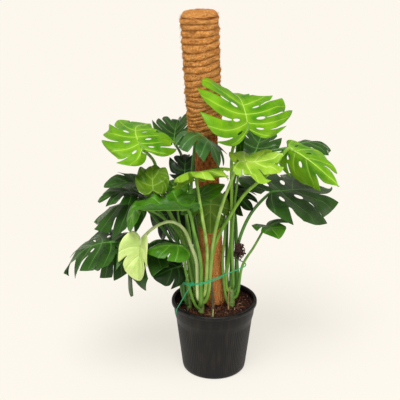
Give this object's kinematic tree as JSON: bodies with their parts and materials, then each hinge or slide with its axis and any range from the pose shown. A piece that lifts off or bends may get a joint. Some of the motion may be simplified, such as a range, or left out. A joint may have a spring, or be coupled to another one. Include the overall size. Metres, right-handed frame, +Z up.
{
  "type": "potted swiss cheese plant",
  "caption": "Split-leaf climbing house plant with long stalks tied to a coir pole, standing in a tapered black nursery pot of soil.",
  "frame": {"origin": "centre of the pot's flat underside", "axes": "+Z up, -Y to the front seen in the picture, +X to the viewer's right"},
  "size_m": [0.7625, 0.4253, 1.0149],
  "materials": {
    "leaf_lime": "young lime-green leaf, glossy, with pale veins",
    "leaf_yellow": "thin yellow-green leaf, half see-through",
    "leaf_pale": "newly opened cream-green leaf, matt",
    "leaf_fresh": "mid-green leaf, glossy",
    "leaf_olive": "olive-green leaf, satin",
    "leaf_glossy": "dark green leaf with a grey sheen",
    "leaf_dark": "dark green mature leaf, glossy",
    "leaf_deep": "deep green leaf in the shade, satin",
    "stem": "green fleshy stem with ring scars",
    "dead_stalk": "grey-brown dried stalk, matt",
    "shoot": "pale green young shoot, satin",
    "sheath": "dry tan leaf sheath, papery",
    "stake": "plain wooden stake, matt",
    "coir_old": "thin red-brown coir, fibrous",
    "coir_new": "thick golden-brown coir wound in turns",
    "pot": "black moulded plastic with fine upright flutes, satin",
    "soil": "dark red-brown bark and peat, rough",
    "twine": "green twisted twine",
    "dried_root": "dark brown dried aerial roots, rough"
  },
  "bodies": {
    "root": {"leaf_crown": "leaf_lime", "leaf_left_lime": "leaf_lime", "leaf_right_lime": "leaf_lime", "leaf_mid_lime": "leaf_yellow", "leaf_grey": "leaf_glossy", "leaf_pale_under": "leaf_yellow", "leaf_back_left": "leaf_dark", "leaf_right_dark": "leaf_dark", "leaf_far_left": "leaf_dark", "leaf_pale_new": "leaf_pale", "leaf_right_back": "leaf_dark", "leaf_right_far": "leaf_dark", "leaf_right_low": "leaf_fresh", "leaf_low_a": "leaf_dark", "leaf_low_b": "leaf_dark", "leaf_left_top": "leaf_dark", "leaf_left_mid": "leaf_dark", "leaf_left_low": "leaf_dark", "leaf_left_small": "leaf_fresh", "leaf_olive": "leaf_olive", "leaf_edge": "leaf_fresh", "leaf_inner": "leaf_fresh", "leaf_inner_top": "leaf_fresh", "leaf_small_front": "leaf_fresh", "leaf_small_low": "leaf_deep", "leaf_back_a": "leaf_deep", "leaf_back_b": "leaf_deep", "leaf_pole_front": "leaf_olive", "leaf_right_inner": "leaf_deep", "leaf_top_dark": "leaf_deep", "leaf_furled": "leaf_fresh", "stem_front": "stem", "stem_right": "stem", "stem_left": "stem", "stem_back": "stem", "old_stalk": "dead_stalk", "young_shoot": "shoot", "dry_sheath": "sheath", "pole_stake": "stake", "pole_coir": "coir_old", "pole_sleeve": "coir_new", "pot": "pot", "soil": "soil", "tie_loop": "twine", "tie_end": "twine", "root_tuft": "dried_root"}
  },
  "joints": []
}
